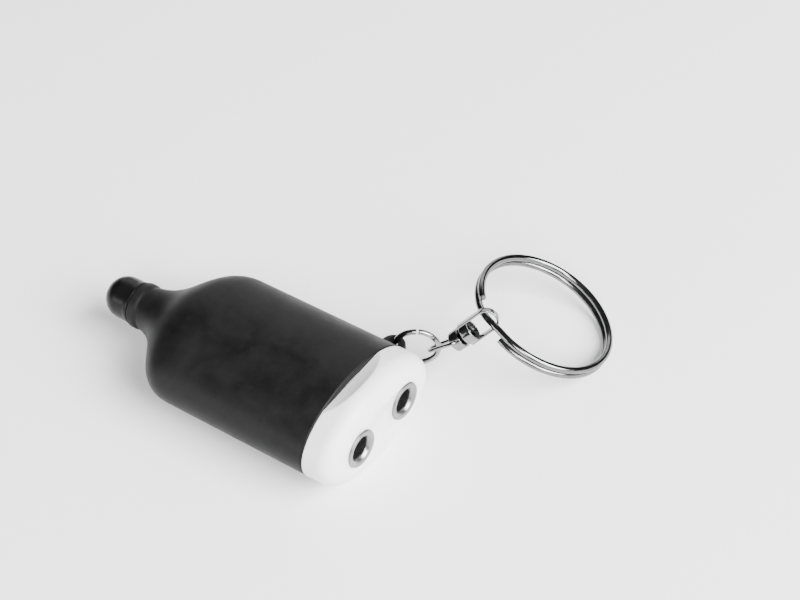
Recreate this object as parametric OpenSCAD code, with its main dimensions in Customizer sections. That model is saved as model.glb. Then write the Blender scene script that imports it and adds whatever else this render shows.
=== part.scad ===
// Keychain headphone splitter: a flask-shaped rubber sleeve with a stylus nib on its neck,
// a white core with two sockets and an audio plug that pulls out of the sleeve,
// and a swivel chain with a double-turn split ring on the sleeve's side lug.
//
// Frame: the origin is the centre of the plug's shoulder face. +X runs from the plug
// towards the sockets, +Y towards the lug, +Z out of a broad side. Millimetres.

/* [Sleeve] */
// Width across the broad sides
sleeve_w = 25.8; // [24.4:0.2:31]
// Thickness between the broad sides
sleeve_t = 15.1; // [14.4:0.1:18]
// Distance from the plug's shoulder to the open mouth
mouth_x = 26; // [25:0.5:32]
// Length of the S-curve between the neck and the straight part
shoulder_l = 15.2; // [12:0.2:16.5]
// Rubber wall thickness
sleeve_wall = 1.3; // [1.1:0.1:1.4]
// Neck diameter where the S-curve starts
neck_d = 7; // [6.4:0.1:8]
// How far the collar at the end of the neck stands out
collar_rise = 0.28; // [0.1:0.02:0.5]
// Length of that collar
collar_l = 1.25; // [0.8:0.05:1.8]

/* [Stylus nib] */
// Nib diameter
nib_d = 6.9; // [6:0.1:7.6]
// Nib length outside the neck
nib_l = 6.25; // [5.4:0.05:7.5]
// Gap between the nib and the collar
nib_gap = 0.15; // [0.1:0.05:0.3]

/* [End cap] */
// Length of the cap outside the mouth
cap_l = 5.25; // [4.4:0.05:6.3]
// Radius that rounds the cap's outer edge
cap_round = 2.75; // [1.5:0.05:3]
// Depth of the thumb notch at the mouth
notch_depth = 1.25; // [0.6:0.05:1.4]
// Reach of the thumb notch along the cap
notch_reach = 2.65; // [1.5:0.05:3.2]

/* [Sockets] */
// Distance between the two socket axes
socket_pitch = 10.8; // [9.6:0.1:11.2]
// Bore diameter, for a 3.5 mm plug
socket_bore = 3.6; // [3.54:0.02:3.66]
// Outside diameter of the metal flange
flange_d = 6; // [5.7:0.1:6.4]
// Depth of the bore from the flange face
socket_depth = 14.3; // [14.1:0.1:15]

/* [Plug] */
// Plug diameter
plug_d = 3.5; // [3.45:0.01:3.5]
// Plug length from its shoulder to its tip
plug_l = 14; // [13.5:0.1:14.6]
// Diameter of the moulded shoulder
plug_collar_d = 5.6; // [5:0.1:6]

/* [Lug and jump ring] */
// Distance from the mouth back to the lug's hole
lug_back = 2.7; // [2.4:0.1:4]
// Thickness of the lug
lug_t = 1.8; // [1.4:0.1:2.2]
// Centreline radius of the jump ring
jump_r = 3.4; // [3.2:0.1:4.2]
// Wire diameter of the jump ring
jump_wire_d = 0.86; // [0.7:0.02:0.96]
// Direction in which the jump ring lies, from +X towards +Y
jump_az = 34; // [20:1:70]
// How far its centre hangs below the lug, as an angle
jump_droop = 13; // [0:1:30]

/* [Swivel] */
// Direction of the swivel, from +X towards +Y
swivel_az = 42; // [30:1:60]
// Angle of the swivel above the table
swivel_el = 37.5; // [0:0.5:45]
// Angle between the wire eye and the swivel
eye_swing = 15; // [0:1:30]
// Length of the wire eye from its pivot to its inner end
eye_l = 4.55; // [4.2:0.05:5.5]
// Diameter of the lower cup
cup_d = 3.3; // [3:0.1:3.6]
// Height of the strap bail above the pivot
bail_h = 7.25; // [6.9:0.05:8]
// Width of the bail's strap
strap_w = 1.1; // [0.8:0.05:1.3]

/* [Split ring] */
// Centreline radius of the split ring
ring_r = 11.15; // [10:0.05:13]
// Wire diameter of the split ring
ring_wire_d = 1.1; // [0.9:0.05:1.2]
// Tilt of the ring from lying flat
ring_tilt = 30.5; // [20:0.5:40]
// Direction of that tilt
ring_az = 37; // [25:1:50]

/* [Hidden] */
half_w = sleeve_w / 2;
half_t = sleeve_t / 2;
sides = 48;
neck_wall = 1.7;
neck_end = -(plug_l + neck_wall);
shoulder_x = neck_end + shoulder_l;
plug_bore_r = plug_d / 2 + 0.62;
stem_r = 1.2;
stem_head_r = 2.2;
nib_wall = 0.7;
slip = 0.02;

// The core is the cap with everything that is inside the sleeve.
core_gap = 0.3;
core_w = half_w - sleeve_wall - core_gap;
core_t = half_t - sleeve_wall - core_gap;
shell_wall = 1;
nose_x = 2.5;
cap_end = mouth_x + cap_l;
spigot_x = mouth_x - 2;
face_x = cap_end + 0.25;
flange_t = 0.6;
barrel_r = 2.4;
body_r = min(3.6, socket_pitch / 2 - 0.4);
plate_t = 0.3;
body_front = spigot_x - plate_t;
body_rear = face_x - socket_depth - 0.4;

// The board lies in the core's middle plane, between the plug and the sockets.
board_t = 1;
board_front = body_rear - 0.7;
board_rear = 6.4;
board_half = 8.6;
post_x = (board_front + board_rear) / 2;
post_y = 6.6;
post_r = 1.1;
peg_r = 0.5;

// The plug's contacts are tubes inside each other, listed from the rod outwards.
tube_r = [0.45, 0.7, 0.95, 1.2];
tube_end = [6, 5.65, 5.35, 5.05];
ring_band = [-10.2, -7.6];
band_gap = 0.7;
strip_t = 0.24;

// The chain is laid out link by link from the lug's hole.
lug_r = 2;
lug_out = 0.5;
lug_hole_r = 0.85;
hole_out = 1;
lug_hole = [mouth_x - lug_back, half_w + hole_out, 0];
jump_dir = [cos(jump_az), sin(jump_az), 0];
up = [0, 0, 1];
jump_centre = lug_hole + jump_r * (cos(jump_droop) * jump_dir - sin(jump_droop) * up);
link_at = jump_centre + jump_r * jump_dir;
cup_turn = -40;
bail_turn = -20;
eye_wire_d = 0.62;
cup_r = cup_d / 2;
cup_h = 1.7;
collar_from = 1.35;
collar_h = 1.65;
strap_t = 0.34;
pin_reach = eye_l - 1.15;
wire_reach = bail_h - 1.26;

swivel_dir = toward(swivel_az, swivel_el);
swivel_x = toward(swivel_az, swivel_el - 90);
swivel_y = [-sin(swivel_az), cos(swivel_az), 0];
cup_x = cos(cup_turn) * swivel_x + sin(cup_turn) * swivel_y;
eye_dir = cos(eye_swing) * swivel_dir + sin(eye_swing) * cup_x;
pin_at = link_at + pin_reach * eye_dir;
wire_at = pin_at + wire_reach * swivel_dir;
ring_x = toward(ring_az, -ring_tilt);
ring_y = [-sin(ring_az), cos(ring_az), 0];
gap_angle = 205.5;
gap_span = 37.6;
ring_centre = wire_at - ring_r * (cos(gap_angle) * ring_x + sin(gap_angle) * ring_y);

// Unit vector with this azimuth and elevation
function toward(az, el) = [cos(el) * cos(az), cos(el) * sin(az), sin(el)];

// Cubic Bezier curve through numbers
function bezier(a, b, c, d, u) =
    a * pow(1 - u, 3) + 3 * b * pow(1 - u, 2) * u + 3 * c * (1 - u) * u * u + d * pow(u, 3);

// Elliptic sections [x, half width, half thickness] of the shoulder's S-curve, neck first
function shoulder(width, thickness, neck, steps) =
    [for (i = [0:steps])
        let (u = i / steps,
             x = bezier(neck_end, neck_end + 0.6 * shoulder_l, shoulder_x - 0.505 * shoulder_l, shoulder_x, u),
             grow = bezier(0, 0, 1, 1, u))
        [x, neck + (width - neck) * grow, neck + (thickness - neck) * grow]];

function ellipse_points(a, b) =
    [for (i = [0:sides - 1]) [a * cos(360 * i / sides), b * sin(360 * i / sides)]];

// Solid through a row of elliptic sections; wrapped joins the last section to the first
module loft(sections, wrapped = false) {
    count = len(sections);
    spans = wrapped ? count : count - 1;
    points = [for (s = sections) for (p = ellipse_points(s[1], s[2])) [s[0], p[0], p[1]]];
    walls = [for (i = [0:spans - 1]) for (j = [0:sides - 1])
        let (a = i * sides + j,
             b = i * sides + (j + 1) % sides,
             c = ((i + 1) % count) * sides + (j + 1) % sides,
             d = ((i + 1) % count) * sides + j)
        each [[a, c, b], [a, d, c]]];
    ends = wrapped ? [] : [[for (j = [0:sides - 1]) j],
                           [for (j = [sides - 1:-1:0]) (count - 1) * sides + j]];
    polyhedron(points = points, faces = concat(walls, ends), convexity = 8);
}

// Straight elliptic bar along X
module oval_bar(from, to, a, b) {
    translate([from, 0, 0])
        rotate([90, 0, 90])
            linear_extrude(height = to - from)
                polygon(ellipse_points(a, b));
}

// Cylinder along X
module rod_x(from, to, r) {
    translate([from, 0, 0])
        rotate([0, 90, 0])
            cylinder(r = r, h = to - from, $fn = 64);
}

// Solid of revolution about X, from [x, radius] corners
module turned_x(corners) {
    rotate([0, 90, 0])
        rotate_extrude($fn = 64)
            polygon([for (c = corners) [c[1], c[0]]]);
}

// Flat strip, width along Y, through [x, z] corners
module strip(corners, width) {
    for (i = [0:len(corners) - 2]) {
        run = corners[i + 1] - corners[i];
        translate([corners[i][0], 0, corners[i][1]])
            rotate([0, -atan2(run[1], run[0]), 0])
                translate([0, -width / 2, -strip_t / 2])
                    cube([norm(run), width, strip_t]);
    }
    for (i = [1:len(corners) - 2])
        translate([corners[i][0], width / 2, corners[i][1]])
            rotate([90, 0, 0])
                cylinder(r = strip_t / 2, h = width, $fn = 24);
}

// ---- Sleeve and nib ----

module rubber_sleeve() {
    outer = shoulder(half_w, half_t, neck_d / 2, 16);
    inner = shoulder(half_w - sleeve_wall, half_t - sleeve_wall, plug_bore_r, 12);
    collar_r = neck_d / 2 + collar_rise;
    edge = 0.2;
    kept_outer = [for (s = outer) if (s[0] > neck_end + collar_l + edge) s];
    kept_inner = [for (s = inner) if (s[0] > neck_end + neck_wall) s];
    color("#2b2b2d")
        difference() {
            union() {
                loft(concat(
                    [[neck_end, stem_r + slip, stem_r + slip],
                     [neck_end, collar_r - edge, collar_r - edge],
                     [neck_end + edge, collar_r, collar_r],
                     [neck_end + collar_l, collar_r, collar_r]],
                    kept_outer,
                    [[mouth_x - edge, half_w, half_t],
                     [mouth_x, half_w - edge, half_t - edge],
                     [mouth_x, half_w - sleeve_wall, half_t - sleeve_wall]],
                    [for (i = [len(kept_inner) - 1:-1:0]) kept_inner[i]],
                    [[neck_end + neck_wall - 0.3, plug_bore_r, plug_bore_r],
                     [neck_end + neck_wall - 0.3, stem_r + slip, stem_r + slip]]),
                    wrapped = true);
                lug();
            }
            translate(lug_hole)
                cylinder(r = lug_hole_r, h = 4 * lug_t, center = true, $fn = 48);
        }
}

// Rounded eyelet tab on the sleeve's side
module lug() {
    lug_at = [mouth_x - lug_back + 0.15, half_w + lug_out, 0];
    round_r = 0.45;
    intersection() {
        translate(lug_at)
            rotate_extrude($fn = 64) {
                translate([0, -lug_t / 2])
                    square([lug_r - round_r, lug_t]);
                translate([0, -lug_t / 2 + round_r])
                    square([lug_r, lug_t - 2 * round_r]);
                for (side = [-1, 1])
                    translate([lug_r - round_r, side * (lug_t / 2 - round_r)])
                        circle(r = round_r, $fn = 32);
            }
        translate([lug_at[0] - 2 * lug_r, half_w - sleeve_wall / 2, -lug_t])
            cube([4 * lug_r, 3 * lug_r, 2 * lug_t]);
    }
}

module stylus_nib() {
    seat = neck_end - nib_gap;
    nib_r = nib_d / 2;
    dome = nib_r * 0.96;
    inner_r = nib_r - nib_wall;
    steps = 12;
    flare = 0.14;
    color("#161617")
        turned_x(concat(
            [[seat, stem_r + slip], [seat, nib_r + flare - 0.1], [seat - 0.1, nib_r + flare],
             [seat - 0.9, nib_r]],
            [for (i = [0:steps]) let (a = 90 * i / steps)
                [neck_end - nib_l + dome - dome * sin(a), nib_r * cos(a)]],
            [for (i = [steps:-1:0]) let (a = 90 * i / steps)
                [neck_end - nib_l + dome - (dome - nib_wall) * sin(a), inner_r * cos(a)]],
            [[seat - 1.9, inner_r], [seat - 1.9, stem_r + slip]]));
}

// Stem that holds the nib on the end of the neck
module nib_stem() {
    seat = neck_end - nib_gap;
    color("#8f9296") {
        turned_x([[neck_end + 1.1, 0], [neck_end + 1.1, stem_r], [seat - 1.92, stem_r],
                  [seat - 1.92, stem_head_r], [seat - 2.5, stem_head_r],
                  [seat - 2.9, stem_head_r - 0.4], [seat - 2.9, 0]]);
    }
}

// ---- Core ----

module end_cap() {
    steps = 7;
    rounded = [for (i = [0:steps]) let (a = 90 * i / steps)
        [cap_end - cap_round + cap_round * sin(a),
         half_w - cap_round * (1 - cos(a)),
         half_t - cap_round * (1 - cos(a))]];
    spigot_w = core_w - shell_wall - slip;
    spigot_t = core_t - shell_wall - slip;
    color("#f1f1f2")
        difference() {
            union() {
                loft(concat([[mouth_x + slip, half_w, half_t]], rounded));
                oval_bar(spigot_x, mouth_x + 1, spigot_w, spigot_t);
            }
            for (side = [-1, 1]) {
                translate([0, side * socket_pitch / 2, 0]) {
                    rod_x(spigot_x - 1, cap_end + 1, barrel_r + slip);
                    rod_x(face_x - flange_t, cap_end + 1, flange_d / 2 + slip);
                }
                thumb_notch(side);
            }
        }
}

// Long cutter that leaves a shallow ramp, deepest at the sleeve's mouth
module thumb_notch(side) {
    cut_r = 9;
    chord = norm([notch_reach, notch_depth]);
    slope = atan2(notch_depth, notch_reach);
    rise = sqrt(cut_r * cut_r - chord * chord / 4);
    middle = [mouth_x + notch_reach / 2, half_t - notch_depth / 2];
    translate([middle[0] - rise * sin(slope), half_w + 1, side * (middle[1] + rise * cos(slope))])
        rotate([90, 0, 0])
            cylinder(r = cut_r, h = sleeve_w + 2, $fn = 96);
}

// Half of the inner housing; side is 1 for the upper and -1 for the lower
module shell_half(side) {
    far = half_t + 1;
    difference() {
        union() {
            difference() {
                oval_bar(nose_x, mouth_x - slip, core_w, core_t);
                oval_bar(nose_x + shell_wall, mouth_x + 1, core_w - shell_wall, core_t - shell_wall);
                rod_x(nose_x - 1, nose_x + shell_wall + 1, 2.2 + slip);
            }
            intersection() {
                for (y = [-post_y, post_y])
                    translate([post_x, y, 0])
                        cylinder(r = post_r, h = 2 * core_t, center = true, $fn = 32);
                oval_bar(nose_x, mouth_x, core_w - shell_wall / 2, core_t - shell_wall / 2);
            }
        }
        translate([nose_x - 1, -half_w, side > 0 ? -far : -slip / 2])
            cube([mouth_x, sleeve_w, far + slip / 2]);
        for (y = [-post_y, post_y])
            translate([post_x, y, 0])
                cylinder(r = post_r + 0.3, h = board_t + 2 * slip, center = true, $fn = 32);
    }
}

module upper_shell() {
    color("#e6e6e8") {
        shell_half(1);
        for (y = [-post_y, post_y])
            translate([post_x, y, -board_t - 0.6])
                cylinder(r = peg_r, h = board_t + 1.4, $fn = 24);
    }
}

module lower_shell() {
    color("#e6e6e8")
        difference() {
            shell_half(-1);
            for (y = [-post_y, post_y])
                translate([post_x, y, -board_t - 0.8])
                    cylinder(r = peg_r + slip, h = board_t + 1, $fn = 24);
        }
}

module circuit_board() {
    color("#2f6b3c")
        difference() {
            translate([board_rear, -board_half, -board_t / 2])
                cube([board_front - board_rear, 2 * board_half, board_t]);
            for (y = [-post_y, post_y])
                translate([post_x, y, 0])
                    cylinder(r = peg_r + 0.05, h = 2 * board_t, center = true, $fn = 24);
        }
}

// Plate that joins both socket bushings and runs back to the board
module ground_plate() {
    tail_z = -board_t / 2 - strip_t / 2 - 0.01;
    color("#c9b27a") {
        difference() {
            union() {
                for (side = [-1, 1])
                    translate([0, side * socket_pitch / 2, 0])
                        rod_x(body_front + slip, spigot_x - slip, barrel_r + 0.8);
                translate([body_front + slip, -socket_pitch / 2, -1.2])
                    cube([plate_t - 2 * slip, socket_pitch, 2.4]);
            }
            for (side = [-1, 1])
                translate([0, side * socket_pitch / 2, 0])
                    rod_x(body_front - 1, spigot_x + 1, barrel_r + slip);
        }
        strip([[board_front - 1.8, tail_z], [body_front + plate_t / 2, tail_z]], 1.2);
    }
}

// ---- Sockets ----

module socket_bushing(side) {
    bore_r = socket_bore / 2;
    outer_r = flange_d / 2;
    bevel = 0.45;
    color("#b9bcc0")
        translate([0, side * socket_pitch / 2, 0])
            difference() {
                turned_x([[body_front, bore_r], [body_front, barrel_r],
                          [face_x - flange_t, barrel_r], [face_x - flange_t, outer_r],
                          [face_x - 0.12, outer_r], [face_x, outer_r - 0.12],
                          [face_x, bore_r + bevel], [face_x - bevel, bore_r]]);
            }
}

module socket_body(side) {
    bore_r = socket_bore / 2 + 0.25;
    slot_w = 1.7;
    color("#26282b")
        translate([0, side * socket_pitch / 2, 0])
            difference() {
                rod_x(body_rear, body_front - slip, body_r);
                rod_x(face_x - socket_depth, body_front + 1, bore_r);
                translate([body_rear - 1, -slot_w / 2, 1.2])
                    cube([tip_contact_x() + 2.4 - body_rear, slot_w, 1.75]);
                translate([body_rear - 1, -slot_w / 2, -2.95])
                    cube([ring_contact_x() + 2 - body_rear, slot_w, 1.75]);
            }
}

function tip_contact_x() = face_x - 12.4;
function ring_contact_x() = face_x - 9;

// Sprung strip with a V that reaches into the bore; its tail is soldered to the board
module contact_spring(side, face, contact_x) {
    far_z = 2.65;
    touch_z = socket_bore / 2 - 0.35;
    tail_z = board_t / 2 + strip_t / 2 + 0.01;
    color("#d8b45c")
        translate([0, side * socket_pitch / 2, 0])
            mirror([0, 0, face > 0 ? 0 : 1])
                strip([[board_front - 2, tail_z], [body_rear - 0.3, tail_z],
                       [body_rear - 0.3, far_z], [contact_x - 1.1, far_z],
                       [contact_x, touch_z], [contact_x + 0.9, far_z - 0.15]], 1.3);
}

// ---- Plug ----

module plug_sleeve() {
    plug_r = plug_d / 2;
    bore_r = tube_r[3] + slip;
    color("#cfd1d4")
        turned_x([[ring_band[1] + band_gap + slip, bore_r], [ring_band[1] + band_gap + slip, plug_r],
                  [0, plug_r], [0, plug_collar_d / 2],
                  [nose_x, plug_collar_d / 2], [nose_x, 2.2],
                  [nose_x + shell_wall + slip, 2.2], [nose_x + shell_wall + slip, 3.4],
                  [tube_end[3] - 0.45, 3.4], [tube_end[3] - 0.45, bore_r]]);
}

// Tube with a wider band at its front, one layer of the plug
module plug_layer(layer, from, to) {
    turned_x([[from, tube_r[layer - 1] + slip], [from, plug_d / 2], [to, plug_d / 2],
              [to, tube_r[layer]], [tube_end[layer], tube_r[layer]],
              [tube_end[layer], tube_r[layer - 1] + slip]]);
}

module plug_ring() {
    color("#cfd1d4")
        plug_layer(2, ring_band[0] + slip, ring_band[1]);
}

module rear_insulator() {
    color("#1d1d1f")
        plug_layer(3, ring_band[1] + slip, ring_band[1] + band_gap);
}

module front_insulator() {
    color("#1d1d1f")
        plug_layer(1, ring_band[0] - band_gap + slip, ring_band[0]);
}

module plug_tip() {
    plug_r = plug_d / 2;
    back = ring_band[0] - band_gap;
    color("#cfd1d4")
        turned_x([[-plug_l, 0], [-plug_l, 0.5], [-plug_l + 0.5, 1.05], [-plug_l + 1.5, plug_r],
                  [back - 0.7, 1.3], [back, 1.3], [back, tube_r[0]],
                  [tube_end[0], tube_r[0]], [tube_end[0], 0]]);
}

// Solder tag: a washer crimped on one layer of the plug and a strip over the board
module solder_tag(layer, from, outer_r, strip_y, face) {
    z = face * (board_t / 2 + strip_t / 2 + 0.01);
    color("#c9b27a") {
        difference() {
            rod_x(from, from + strip_t, outer_r);
            rod_x(from - 1, from + 1, tube_r[layer] + slip);
        }
        translate([from, strip_y - 0.3, z - strip_t / 2])
            cube([board_rear + 2 - from, 0.6, strip_t]);
    }
}

module tip_tag() solder_tag(0, tube_end[1] + 0.05, 1, 0, 1);
module ring_tag() solder_tag(2, tube_end[3] + 0.04, 1.6, 1.25, 1);
module sleeve_tag() solder_tag(3, tube_end[3] - 0.42, 2.4, -2.1, -1);

// ---- Chain ----

// Wire ring in the XZ plane, cut open at one angle
module open_ring(centreline_r, wire_d, open_at, open_by) {
    rotate([90, 0, 0])
        rotate([0, 0, open_at + open_by / 2])
            rotate_extrude(angle = 360 - open_by, $fn = 96)
                translate([centreline_r, 0])
                    circle(r = wire_d / 2, $fn = 32);
}

module jump_ring() {
    color("#c4c6ca")
        translate(jump_centre)
            rotate([0, 0, jump_az])
                open_ring(jump_r, jump_wire_d, 83, 9);
}

// Frame of the swivel: origin at the eye's pivot, Z along the swivel
module at_swivel(turn) {
    translate(pin_at)
        rotate([0, 90 - swivel_el, swivel_az])
            rotate([0, 0, turn])
                children();
}

// U of round wire round the jump ring, with its ends hooked into the lower cup
module swivel_eye() {
    arm_y = cup_r + 0.06 + eye_wire_d / 2;
    bend_z = -(eye_l + eye_wire_d / 2 - arm_y);
    color("#cdcfd2")
        at_swivel(cup_turn)
            rotate([0, eye_swing, 0]) {
                translate([0, 0, bend_z])
                    rotate([90, 0, 90])
                        rotate([0, 0, 180])
                            rotate_extrude(angle = 180, $fn = 96)
                                translate([arm_y, 0])
                                    circle(r = eye_wire_d / 2, $fn = 32);
                for (side = [-1, 1]) {
                    translate([0, side * arm_y, bend_z])
                        cylinder(r = eye_wire_d / 2, h = -bend_z, $fn = 32);
                    translate([0, side * arm_y, 0])
                        sphere(r = eye_wire_d / 2, $fn = 32);
                    translate([0, side * arm_y, 0])
                        rotate([side * 90, 0, 0])
                            cylinder(r = eye_wire_d / 2 - 0.06, h = 0.75, $fn = 32);
                }
            }
}

module swivel_cup() {
    wall = 0.28;
    color("#b4b7bb")
        at_swivel(cup_turn)
            difference() {
                translate([0, 0, -cup_h / 2])
                    cylinder(r = cup_r, h = cup_h, $fn = 64);
                translate([0, 0, -cup_h / 2 + 0.35])
                    cylinder(r = cup_r - wall, h = cup_h, $fn = 64);
                translate([0, 0, -cup_h])
                    cylinder(r = rivet_r() + slip, h = cup_h, $fn = 32);
                rotate([90, 0, 0])
                    cylinder(r = eye_wire_d / 2 - 0.02, h = 3 * cup_r, center = true, $fn = 32);
            }
}

function rivet_r() = 0.5;

// Rivet that holds the cup and lets the collar spin
module swivel_rivet() {
    floor_z = -cup_h / 2;
    hub_r = 0.85;
    top_z = collar_from + 0.4;
    color("#d6d8da")
        at_swivel(cup_turn) {
            translate([0, 0, floor_z - 0.3])
                cylinder(r = 0.9, h = 0.3 - slip, $fn = 48);
            translate([0, 0, floor_z - 0.3])
                cylinder(r = rivet_r(), h = top_z + 0.4 - floor_z, $fn = 48);
            translate([0, 0, floor_z + 0.35 + slip])
                cylinder(r = hub_r, h = collar_from - 0.05 - floor_z - 0.35 - slip, $fn = 48);
            translate([0, 0, top_z + 0.05])
                cylinder(r = 0.95, h = 0.35, $fn = 48);
        }
}

module swivel_collar() {
    wall = 0.28;
    color("#babdc1")
        at_swivel(bail_turn)
            difference() {
                translate([0, 0, collar_from])
                    cylinder(r = collar_r(), h = collar_h, $fn = 64);
                translate([0, 0, collar_from + 0.4])
                    cylinder(r = collar_r() - wall, h = collar_h, $fn = 64);
                translate([0, 0, collar_from - 1])
                    cylinder(r = rivet_r() + 0.05, h = collar_h, $fn = 32);
                for (side = [-1, 1])
                    translate([side * (arch_r() + strap_t / 2), 0, collar_from + collar_h / 2])
                        cube([strap_t + 2 * slip, strap_w + 2 * slip, collar_h + 1], center = true);
            }
}

function collar_r() = 1.75;
function arch_r() = collar_r() - 0.18;

// Flat strap bent to a U, with its ends set into the collar's sides
module swivel_bail() {
    arch_z = bail_h - arch_r();
    color("#d9dadc")
        at_swivel(bail_turn)
            rotate([90, 0, 0])
                linear_extrude(height = strap_w, center = true)
                    difference() {
                        union() {
                            translate([0, arch_z])
                                circle(r = arch_r() + strap_t, $fn = 64);
                            translate([-arch_r() - strap_t, collar_from + 0.1])
                                square([2 * (arch_r() + strap_t), arch_z - collar_from - 0.1]);
                        }
                        translate([0, arch_z])
                            circle(r = arch_r(), $fn = 64);
                        translate([-arch_r(), collar_from - 1])
                            square([2 * arch_r(), arch_z - collar_from + 1]);
                    }
}

// Double turn of wire: the upper turn, a crossing where the wire drops, and the lower turn
module split_ring() {
    steps = 104;
    wire_sides = 12;
    total = 720 - gap_span;
    start = gap_angle - gap_span / 2 + 360;
    level = ring_wire_d / 2 + 0.02;
    turn = 360 - gap_span;
    points = [for (i = [0:steps])
        let (run = total * i / steps,
             angle = start - run,
             cross = min(1, max(0, (run - turn) / gap_span)),
             height = level * cos(180 * cross))
        for (j = [0:wire_sides - 1])
            let (r = ring_r + ring_wire_d / 2 * cos(360 * j / wire_sides),
                 z = height + ring_wire_d / 2 * sin(360 * j / wire_sides))
            [r * cos(angle), r * sin(angle), z]];
    walls = [for (i = [0:steps - 1]) for (j = [0:wire_sides - 1])
        let (a = i * wire_sides + j,
             b = i * wire_sides + (j + 1) % wire_sides,
             c = b + wire_sides,
             d = a + wire_sides)
        each [[a, b, c], [a, c, d]]];
    ends = [[for (j = [wire_sides - 1:-1:0]) j],
            [for (j = [0:wire_sides - 1]) steps * wire_sides + j]];
    color("#c8cacd")
        translate(ring_centre)
            rotate([0, ring_tilt, ring_az])
                polyhedron(points = points, faces = concat(walls, ends), convexity = 8);
}

rubber_sleeve();
stylus_nib();
nib_stem();
end_cap();
upper_shell();
lower_shell();
circuit_board();
ground_plate();
socket_bushing(1);  // socket_bushing_left
socket_bushing(-1);  // socket_bushing_right
socket_body(1);  // socket_body_left
socket_body(-1);  // socket_body_right
contact_spring(1, 1, tip_contact_x());  // tip_spring_left
contact_spring(-1, 1, tip_contact_x());  // tip_spring_right
contact_spring(1, -1, ring_contact_x());  // ring_spring_left
contact_spring(-1, -1, ring_contact_x());  // ring_spring_right
plug_sleeve();
plug_ring();
plug_tip();
rear_insulator();
front_insulator();
sleeve_tag();
ring_tag();
tip_tag();
jump_ring();
swivel_eye();
swivel_cup();
swivel_rivet();
swivel_collar();
swivel_bail();
split_ring();
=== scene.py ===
"""Looks of a keychain headphone splitter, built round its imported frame.

Everything is in the frame of the CAD model: the origin is the centre of the plug's shoulder face,
+X runs from the plug to the sockets, +Y towards the lug, +Z out of a broad side. Sizes in the classes
are millimetres; meshes are scaled to metres when they are made.
"""

from __future__ import annotations

import logging
import math
from dataclasses import dataclass, field
from enum import Enum

import bmesh
import bpy
import numpy as np
from mathutils import Matrix, Vector

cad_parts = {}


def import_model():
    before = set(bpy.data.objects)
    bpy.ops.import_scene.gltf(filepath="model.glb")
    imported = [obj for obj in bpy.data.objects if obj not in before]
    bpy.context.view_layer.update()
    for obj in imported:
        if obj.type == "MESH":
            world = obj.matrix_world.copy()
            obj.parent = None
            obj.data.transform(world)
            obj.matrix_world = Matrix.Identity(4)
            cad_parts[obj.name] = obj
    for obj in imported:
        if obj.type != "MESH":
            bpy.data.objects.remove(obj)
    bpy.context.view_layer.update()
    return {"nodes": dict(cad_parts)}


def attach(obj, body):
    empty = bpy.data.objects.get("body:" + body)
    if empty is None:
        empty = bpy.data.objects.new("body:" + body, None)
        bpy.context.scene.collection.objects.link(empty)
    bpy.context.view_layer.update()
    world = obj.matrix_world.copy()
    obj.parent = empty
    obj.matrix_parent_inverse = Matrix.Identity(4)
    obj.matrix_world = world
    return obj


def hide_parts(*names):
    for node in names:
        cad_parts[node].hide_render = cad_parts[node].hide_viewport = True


MM = 0.001
MERGE_M, SLIVER_M, SEAM_M = 1e-7, 1e-8, 1e-6
SOFT_CREASE = 50.0
LOG = logging.getLogger("splitter")

# A turned piece's axis is its local X; these take it to the frame's X, onto Z and onto Y
AXIS_X = Matrix.Identity(4)
X_TO_Z = Matrix.Rotation(-math.pi / 2, 4, "Y")
X_TO_Y = Matrix.Rotation(math.pi / 2, 4, "Z")

Point = tuple[float, float, float]
# Along the axis, radius and fillet
Corner = tuple[float, float, float]


class Body(Enum):
    """The moving groups of the CAD frame."""

    SLEEVE = "sleeve"
    CORE = "core"
    JUMP_LINK = "jump_link"
    EYE = "eye"
    LOWER_SWIVEL = "lower_swivel"
    UPPER_SWIVEL = "upper_swivel"
    KEY_RING = "key_ring"


class Side(Enum):
    """Which side of the middle plane a mirrored piece is on."""

    PLUS = 1
    MINUS = -1


# ---------------------------------------------------------------- finishes


def look_name(slot: str) -> str:
    """Name of the material that dresses a slot, never the name of the frame's plain one."""
    return f"{slot}_look"


class NodeMaker:
    """Adds nodes to a node tree."""

    def __init__(self, tree: bpy.types.NodeTree) -> None:
        """Keep the tree that the nodes go into."""
        self.tree = tree

    def node(self, kind: str, inputs: dict[str | int, object] | None = None, **settings: object
             ) -> bpy.types.Node:
        """Add a node.

        Args:
            kind: the node's type.
            inputs: sockets to link or values to set, by name or index.
            settings: the node's own properties.

        Returns:
            The node.
        """
        made = self.tree.nodes.new(kind)
        for key, value in settings.items():
            setattr(made, key, value)
        for key, value in (inputs or {}).items():
            if isinstance(value, bpy.types.NodeSocket):
                self.tree.links.new(value, made.inputs[key])
            else:
                made.inputs[key].default_value = value
        return made


def rgba(colour: object) -> object:
    """A colour with full alpha; a socket stays as it is."""
    return (*colour, 1.0) if isinstance(colour, tuple) else colour


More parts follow.
